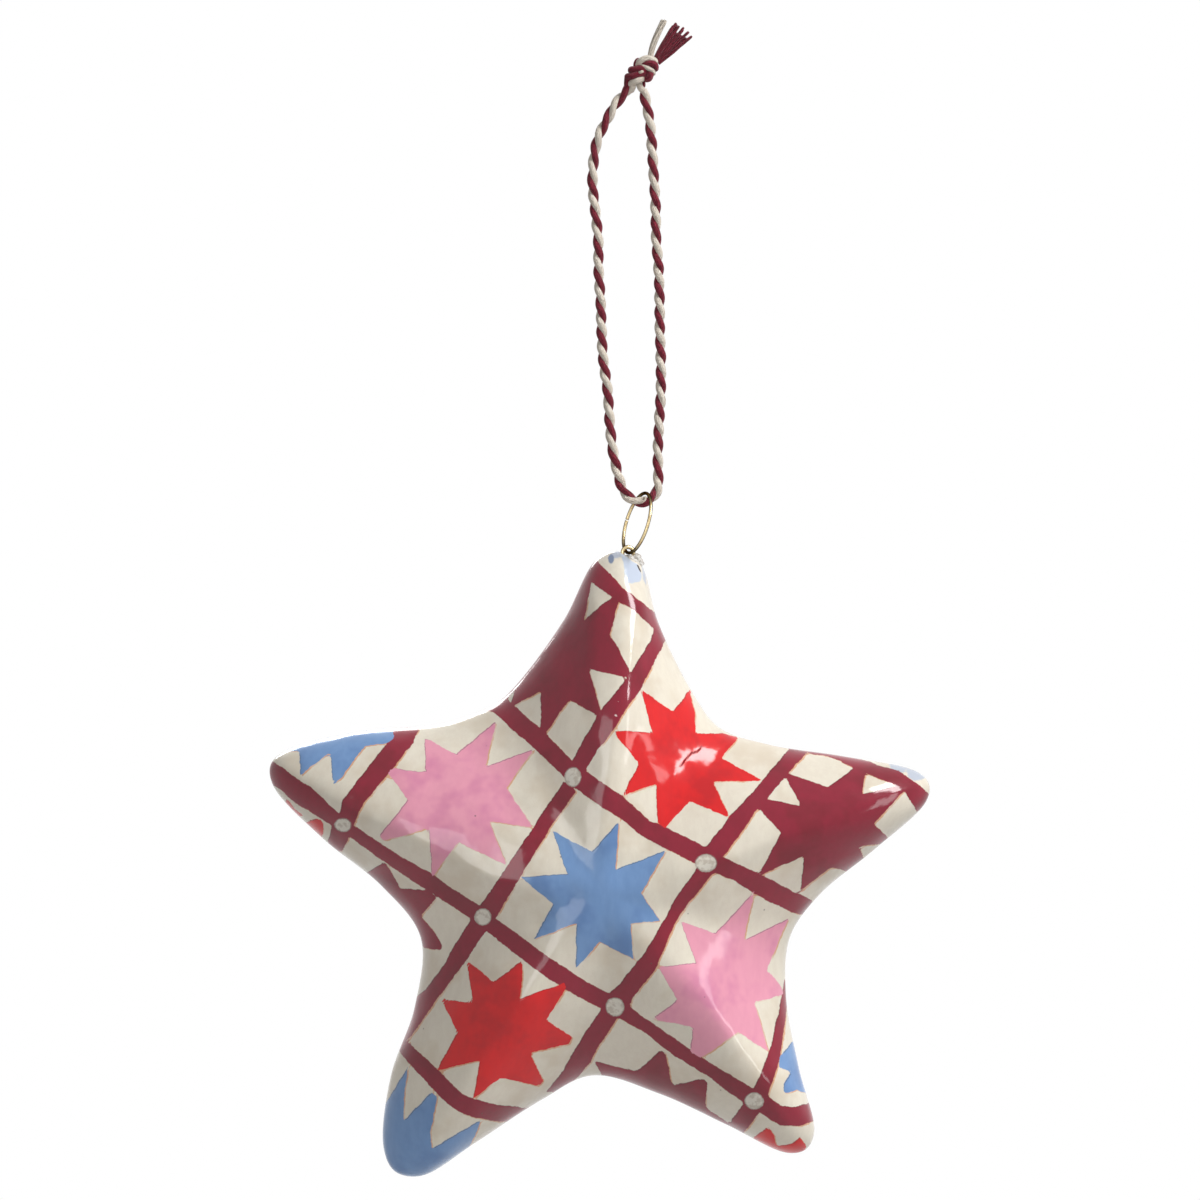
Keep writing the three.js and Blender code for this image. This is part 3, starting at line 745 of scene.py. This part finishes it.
HAIRLINE = [(679.2, 766.2), (683.2, 761.0), (687.4, 756.0), (690.6, 752.0), (695.4, 751.2), (699, 749.0),
            (702, 745.6), (704.0, 745.0), (702.6, 747.6), (699.6, 751.2), (695.8, 753.4), (691.4, 754.2),
            (688.2, 758), (684, 762.8), (680.4, 767.2)]
# Painted highlights: small pale spots where tiny bumps in the lacquer catch the light, each a middle and two
# half sizes in pixels.
PAINTED_GLINTS = [(616.5, 714.5, 2.3, 2.0), (626.5, 697, 1.0, 0.9), (618.5, 701, 0.8, 0.8), (622, 686, 0.9, 1.3),
          (657, 763, 0.8, 0.8)]
FAR = 18.0
# The thin first coat that shows beside each colour: its shift in pixels, how near to the rim, in
# millimetres of depth, it starts to narrow, and the share of its width that it keeps.
FRINGE_SHIFT = np.array((1.25, 1.0))
FRINGE_DEPTH = 4.0
FRINGE_LEAST = 0.2


def polygon_distance(points, polygon):
    """Distance to a painted outline in pixels, negative inside it, and FAR where it is far."""
    corners = np.array(polygon, float)
    near = np.all((points > corners.min(0) - FAR) & (points < corners.max(0) + FAR), axis=1)
    distance = np.full(len(points), FAR)
    spots = points[near]
    best = distance[near]
    inside = np.zeros(len(spots), bool)
    for a, b in zip(corners, np.roll(corners, -1, axis=0)):
        edge = b - a
        best = np.minimum(best, gap_to_edge(spots, a, edge))
        crosses = (a[1] > spots[:, 1]) != (b[1] > spots[:, 1])
        inside ^= crosses & (spots[:, 0] < a[0] + (spots[:, 1] - a[1]) * edge[0] / (edge[1] or 1.0))
    distance[near] = np.where(inside, -best, best)
    return distance


def nearest(points, polygons):
    return np.min([polygon_distance(points, polygon) for polygon in polygons], axis=0)


def oval_distance(points, ovals):
    """Rough distance to a set of ovals, each given by its middle and its two half sizes."""
    distances = []
    for x, y, wide, tall in ovals:
        away = (points - (x, y)) / (wide, tall)
        distances.append((np.linalg.norm(away, axis=1) - 1) * (wide + tall) / 2)
    return np.minimum(np.min(distances, axis=0), FAR)


def painted(points, colours):
    """Distance to each colour of paint, in pixels."""
    blocks = np.maximum(nearest(points, BLOCKS), -nearest(points, BLOCK_GAPS))
    fields = {'burgundy': np.minimum(blocks, nearest(points, BANDS + PARTIAL_BURGUNDY))}
    for colour, names in colours.items():
        fields[colour] = nearest(points, [STARS[name] for name in names])
    return fields


def paint_fields(points, side):
    """Every paint field of one half, in millimetres, from its points round the star's middle."""
    place = points + STAR_MIDDLE
    pixels = np.stack([LOOP_TOP[0] + place[:, 0] / PIXEL, LOOP_TOP[1] - place[:, 2] / PIXEL], axis=1)
    nearer = CAMERA_DISTANCE / (CAMERA_DISTANCE - np.abs(place[:, 1]))
    pixels = PHOTO_SIZE / 2 + (pixels - PHOTO_SIZE / 2) * nearer[:, None]
    colours = FRONT_COLOURS if side < 0 else BACK_COLOURS
    fields = painted(pixels, colours)
    narrower = np.clip(np.abs(points[:, 1]) / FRINGE_DEPTH, FRINGE_LEAST, 1)[:, None]
    shifted = painted(pixels - FRINGE_SHIFT * narrower, colours)
    fields['fringe'] = np.min(list(shifted.values()), axis=0)
    for name, ovals in (('dot', CORNER_DOTS), ('tip_blue', TIP_BLUE), ('painted_glint', PAINTED_GLINTS)):
        fields[name] = oval_distance(pixels, ovals)
    outlines = {'tip_smear': TIP_SMEAR, 'tip_pale': TIP_PALE, 'crack': [CRACK], 'hairline': [HAIRLINE]}
    fields.update((name, nearest(pixels, polygons)) for name, polygons in outlines.items())
    if side > 0:
        for name in ('crack', 'hairline', 'painted_glint'):
            fields[name][:] = FAR
    return {name: values * PIXEL for name, values in fields.items()}


def star_material():
    """Flat hand-painted colours under a thick, wavy gloss lacquer."""
    material, tree, shader = new_material('painted_lacquer')
    spot = millimetres(tree)
    # The brush's wobble, in millimetres: a fine wave and a broad one, which together swing round 0.
    wobble = maths(tree, 'MULTIPLY_ADD', noise(tree, spot, 1.9), 0.24, -0.37)
    wobble = maths(tree, 'MULTIPLY_ADD', noise(tree, spot, 0.45), 0.5, wobble)
    streaks = noise(tree, spot, 1.0, 3.0, 0.6, stretch=(0.9, 0.9, 0.3))
    mottle = noise(tree, spot, 0.12, 3.0, 0.6)
    grain = noise(tree, spot, 3.2, 3.0, 0.7)

    def covered(name, edge=0.07):
        """1 inside a painted shape and 0 outside, with the brush's wobble on its edge."""
        return step(tree, maths(tree, 'ADD', field(tree, name), wobble), edge, -edge)

    def coat_of(light, deep, patch):
        base = blend(tree, step(tree, streaks, 0.3, 0.7), deep, light)
        return blend(tree, step(tree, mottle, 0.46, 0.68), base, patch)

    cream = coat_of(srgb(238, 230, 213), srgb(233, 224, 207), srgb(226, 214, 194))
    cream = blend(tree, step(tree, grain, 0.5, 0.85, 0.2), cream, srgb(206, 192, 168))
    colour = blend(tree, covered('tip_smear', 0.2), cream, srgb(190, 197, 210))
    colour = blend(tree, covered('tip_pale', 0.12), colour, srgb(199, 209, 226))
    colour = blend(tree, covered('tip_blue', 0.15), colour, srgb(126, 140, 168))
    thin = step(tree, noise(tree, spot, 0.14, 2.0), 0.38, 0.56, 0.75)
    colour = blend(tree, maths(tree, 'MULTIPLY', covered('fringe', 0.04), thin), colour, srgb(222, 152, 100))
    paints = {
        'burgundy': coat_of(srgb(147, 18, 47), srgb(141, 17, 45), srgb(130, 14, 38)),
        'red': coat_of(srgb(230, 14, 18), srgb(224, 12, 18), srgb(204, 10, 20)),
        'pink': coat_of(srgb(242, 164, 186), srgb(239, 160, 183), srgb(226, 142, 174)),
        'blue': coat_of(srgb(122, 160, 210), srgb(116, 155, 206), srgb(102, 140, 194)),
    }
    shadowed = step(tree, maths(tree, 'ADD', field(tree, 'fringe'), wobble), 0.02, 0.14, 0.4)
    for name, paint in paints.items():
        edged = blend(tree, shadowed, paint, srgb(60, 22, 34), 'MULTIPLY')
        colour = blend(tree, covered(name), colour, edged)
    dabs = step(tree, noise(tree, spot, 1.1, 3.0), 0.45, 0.62)
    dot = blend(tree, dabs, srgb(228, 222, 209), srgb(203, 193, 178))
    colour = blend(tree, covered('dot', 0.1), colour, dot)
    rim = step(tree, maths(tree, 'ABSOLUTE', field(tree, 'dot')), 0.22, 0.04, 0.4)
    colour = blend(tree, rim, colour, srgb(140, 120, 112))
    colour = blend(tree, step(tree, field(tree, 'crack'), 0.08, -0.02), colour, srgb(66, 52, 52))
    crazed = step(tree, field(tree, 'hairline'), 0.14, 0.0)
    colour = blend(tree, crazed, colour, srgb(150, 8, 20))
    # Painted highlights: the small pale spots are mixed into the paint colour.
    colour = blend(tree, step(tree, field(tree, 'painted_glint'), 0.06, -0.06), colour, srgb(240, 214, 214))
    cells = add(tree, 'TexVoronoi', {'Vector': spot, 'Scale': 0.16, 'Randomness': 1.0}).outputs['Distance']
    specks = step(tree, cells, 0.035, 0.015, 0.55)
    colour = blend(tree, specks, colour, srgb(90, 66, 60))
    waves = maths(tree, 'MULTIPLY_ADD', noise(tree, spot, 0.45, 1.0), 0.12, noise(tree, spot, 0.14, 1.0))
    relief = bump(tree, covered('fringe', 0.25), 0.015, bump(tree, waves, 0.35))
    feed(tree, shader, {
        'Base Color': colour,
        'Normal': relief,
        'Coat Normal': relief,
        'Roughness': maths(tree, 'MULTIPLY_ADD', grain, 0.16, 0.36),
        'Specular IOR Level': 0.05,
        'Coat Weight': maths(tree, 'MULTIPLY_ADD', crazed, -0.78, 0.78),
        'Coat Roughness': 0.1,
        'Coat IOR': 1.5,
    })
    return material


STAR_PAINT = star_material()


def make_star_half(name, side, node):
    points, faces = star_surface(side)
    shape = Shape()
    shape.add(points + STAR_MIDDLE, faces)
    shape.piece(name, [STAR_PAINT], 'star', [node], paint_fields(points, side))


make_star_half('star_front', -1, 'front_shell')
make_star_half('star_back', 1, 'back_shell')


# Wire hanger

RING_WIRE = 0.6
RING_DIAMETER = 11.4
RING_CUT = 0.15
RING_TILT = 17.0
RING_TURN = -70.0
RING_GAP = 0.3
BIGHT = np.array((0.8, 0.0, -70.93))
EYE_LEAN = 86.1
EYE_WIRE = 0.7
EYE_BEND = 1.0
EYE_LEG = 5.0
EYE_LEG_TOP = 0.3
WIRE_SIDES = 20
RING_POINTS = 161
BEND_POINTS = 33
LEG_POINTS = 12


def turned(tilt, turn):
    """The axes of a piece turned about its own upright axis and then tilted sideways."""
    upright_turn = Matrix.Rotation(math.radians(turn), 3, 'Z')
    return np.array(Matrix.Rotation(math.radians(tilt), 3, 'Y') @ upright_turn)


def brass_material():
    """Drawn brass wire, polished but handled: fine scratches and dull patches, with painted dark reflections
    along its edges.
    """
    material, tree, shader = new_material('brass_wire')
    strand = field(tree, 'strand', 'Vector')
    scratches = noise(tree, strand, 1.0, 3.0, 0.7, stretch=(0.9, 14.0, 14.0))
    patches = noise(tree, millimetres(tree), 0.7, 3.0)
    colour = blend(tree, step(tree, patches, 0.4, 0.7), srgb(222, 202, 158), srgb(184, 162, 120))
    colour = blend(tree, step(tree, scratches, 0.5, 0.75, 0.5), colour, srgb(120, 102, 74))
    # Painted reflection: the colour darkens where the wire turns away from the viewer, in place of dark
    # surroundings mirrored at its edges.
    painted_dark_edges = add(tree, 'LayerWeight', {'Blend': 0.5}).outputs['Facing']
    colour = blend(tree, step(tree, painted_dark_edges, 0.16, 0.42, 0.85), colour, srgb(58, 46, 34))
    feed(tree, shader, {
        'Base Color': colour,
        'Normal': bump(tree, scratches, 0.012),
        'Roughness': maths(tree, 'MULTIPLY_ADD', patches, 0.25, 0.16),
        'Metallic': 1.0,
        'Specular Tint': (0.08, 0.06, 0.04, 1.0),
    })
    return material


BRASS = brass_material()


def make_ring():
    axes = turned(RING_TILT, RING_TURN)
    radius = (RING_DIAMETER - RING_WIRE) / 2
    rest = TWINE_DIAMETER / 2 + RING_WIRE / 2 + RING_GAP
    centre = BIGHT + axes @ np.array((0, 0, rest - radius))
    cut = RING_CUT / RING_DIAMETER
    turns = np.linspace(math.pi + cut, 3 * math.pi - cut, RING_POINTS)
    circle = np.stack([radius * np.cos(turns), 0 * turns, radius * np.sin(turns)], axis=1)
    shape = Shape()
    shape.add_tube(circle @ axes.T + centre, RING_WIRE / 2, WIRE_SIDES, seed=80.0)
    shape.piece('jump_ring_wire', [BRASS], 'ring', ['jump_ring'])
    return centre + axes @ np.array((0, 0, -radius))


def make_eye(hang_point):
    axes = turned(90 - EYE_LEAN, RING_TURN)
    turns = np.linspace(math.pi, 0, BEND_POINTS)
    bend = np.stack([0 * turns, EYE_BEND * np.cos(turns), EYE_BEND * np.sin(turns)], axis=1)
    depths = np.linspace(-EYE_LEG, -EYE_LEG_TOP, LEG_POINTS)
    legs = [np.stack([0 * depths, 0 * depths + aside, depths], axis=1) for aside in (-EYE_BEND, EYE_BEND)]
    path = np.vstack([legs[0], bend, legs[1][::-1]])
    shape = Shape()
    shape.add_tube(path @ axes.T + hang_point, EYE_WIRE / 2, WIRE_SIDES, seed=90.0)
    shape.piece('eye_wire', [BRASS], 'star', ['hanger_eye'])


def pulp_material():
    """Dried glue and paper pulp: pale, lumpy and half glossy."""
    material, tree, shader = new_material('glue_and_pulp')
    spot = millimetres(tree)
    lumps = noise(tree, spot, 0.9, 4.0, 0.65)
    pits = noise(tree, spot, 3.0, 3.0, 0.7)
    colour = blend(tree, step(tree, lumps, 0.36, 0.62), srgb(176, 164, 150), srgb(232, 229, 224))
    feed(tree, shader, {
        'Base Color': blend(tree, step(tree, pits, 0.58, 0.72, 0.6), colour, srgb(112, 96, 84)),
        'Normal': bump(tree, maths(tree, 'ADD', lumps, pits), 0.25),
        'Roughness': 0.4,
        'Coat Weight': 0.5,
        'Coat Roughness': 0.15,
    })
    return material


# Lumps of pulp round the eye's legs: upright offsets from the eye's middle, and sizes.
PULP_LUMPS = [
    ((0.1, 0.0, -1.2), (2.0, 1.9, 0.8)),
    ((1.5, -0.7, -0.8), (0.75, 0.75, 0.65)),
    ((2.0, -0.8, -1.7), (0.75, 0.8, 0.85)),
    ((1.1, -1.2, -1.6), (0.7, 0.6, 0.6)),
    ((-0.9, 0.7, -1.1), (0.8, 0.9, 0.6)),
]
# Waves on each lump: how many, how close together, and their height as a share of the lump's size.
PULP_WAVES = 14
PULP_WAVE_RATE = 3.2
PULP_WAVE_HEIGHT = 0.035
PULP_SEED = 11


def make_pulp(hang_point):
    draw = np.random.RandomState(PULP_SEED)
    shape = Shape()
    away, faces = unit_ball(22, 32)
    for offset, size in PULP_LUMPS:
        swell = np.ones(len(away))
        for _ in range(PULP_WAVES):
            way = draw.normal(size=3) * PULP_WAVE_RATE
            swell += PULP_WAVE_HEIGHT * np.sin(away @ way + draw.uniform(0, 6.28))
        shape.add(hang_point + np.array(offset) + away * np.array(size) * swell[:, None], faces)
    shape.piece('pulp_plug', [pulp_material()], 'star', ['hanger_plug'])


eye_middle = make_ring()
make_eye(eye_middle)
make_pulp(eye_middle)


# Light and stage

WHITE = (1.0, 1.0, 1.0, 1.0)
# The floor, in metres, and its greys: as it bounces light, and as the camera sees it.
FLOOR_Z = -0.26
FLOOR_RADIUS = 1.0
FLOOR_FADE = (0.12, 0.5)
FLOOR_GLOW = 0.72
FLOOR_BOUNCE = (0.4, 0.395, 0.39, 1.0)
FLOOR_SEEN = (0.35, 0.35, 0.35, 1.0)
AMBIENT = 0.17
# The place that all lamps point to, in metres.
STAR_SPOT = (0.0, 0.0, -0.135)


def seen_directly(tree):
    """1 for rays from the camera, and for those that metal or lacquer mirrors; 0 for soft light."""
    path = add(tree, 'LightPath').outputs
    mirrored = maths(tree, 'MAXIMUM', path['Is Glossy Ray'], path['Is Transmission Ray'])
    return maths(tree, 'MAXIMUM', path['Is Camera Ray'], mirrored)


def floor_material():
    """Pale matt paper that keeps the soft shadow and fades to white away from the object."""
    material = bpy.data.materials.new('floor_paper')
    material.use_nodes = True
    tree = material.node_tree
    tree.nodes.remove(tree.nodes['Principled BSDF'])
    place = add(tree, 'TexCoord').outputs['Object']
    distance = add(tree, 'VectorMath', {0: place}, operation='LENGTH').outputs['Value']
    paper = add(tree, 'BsdfDiffuse', {'Color': FLOOR_BOUNCE})
    shadowed = add(tree, 'BsdfDiffuse', {'Color': FLOOR_SEEN})
    glow = add(tree, 'Emission', {'Color': WHITE, 'Strength': FLOOR_GLOW})
    near = add(tree, 'AddShader', {0: shadowed.outputs[0], 1: glow.outputs[0]})
    white = add(tree, 'Emission', {'Color': WHITE, 'Strength': 1.0})
    fade = step(tree, distance, *FLOOR_FADE)
    seen = add(tree, 'MixShader', {0: fade, 1: near.outputs[0], 2: white.outputs[0]})
    mixed = add(tree, 'MixShader', {0: seen_directly(tree), 1: paper.outputs[0], 2: seen.outputs[0]})
    feed(tree, tree.nodes['Material Output'], {'Surface': mixed.outputs[0]})
    return material


def make_floor():
    turns = np.linspace(0, 2 * math.pi, 64, endpoint=False)
    mesh = bpy.data.meshes.new('floor')
    rim = [(FLOOR_RADIUS * math.cos(turn), FLOOR_RADIUS * math.sin(turn), 0.0) for turn in turns]
    mesh.from_pydata(rim, [], [tuple(range(len(rim)))])
    mesh.materials.append(floor_material())
    floor = new_object('floor', mesh)
    floor.location = (0.0, 0.0, FLOOR_Z)


def make_world():
    """Even soft light from all round, which itself is seen as white."""
    world = bpy.context.scene.world or bpy.data.worlds.new('world')
    bpy.context.scene.world = world
    world.use_nodes = True
    tree = world.node_tree
    strength = add(tree, 'Mix', {0: seen_directly(tree), 2: AMBIENT, 3: 1.0}, data_type='FLOAT').outputs[0]
    feed(tree, tree.nodes['Background'], {'Color': WHITE, 'Strength': strength})


def area_light(name, place, size, watts):
    """A lamp whose place and two sizes are in metres, turned to the star."""
    data = bpy.data.lights.new(name, 'AREA')
    data.shape = 'RECTANGLE'
    data.size, data.size_y = size
    data.energy = watts
    turn = (Vector(place) - Vector(STAR_SPOT)).to_track_quat('Z', 'Y')
    new_object(name, data).matrix_world = Matrix.Translation(place) @ turn.to_matrix().to_4x4()


make_floor()
make_world()
area_light('key', (0.60, -0.30, 0.60), (0.2, 0.72), 8.7)
area_light('side', (1.05, -0.60, -0.02), (0.16, 0.7), 1.8)
area_light('strip', (-0.42, -1.08, -0.06), (0.34, 0.9), 3.1)
area_light('back', (-0.35, 1.05, 0.55), (0.6, 0.6), 8.5)
bpy.context.scene.view_settings.view_transform = 'Standard'
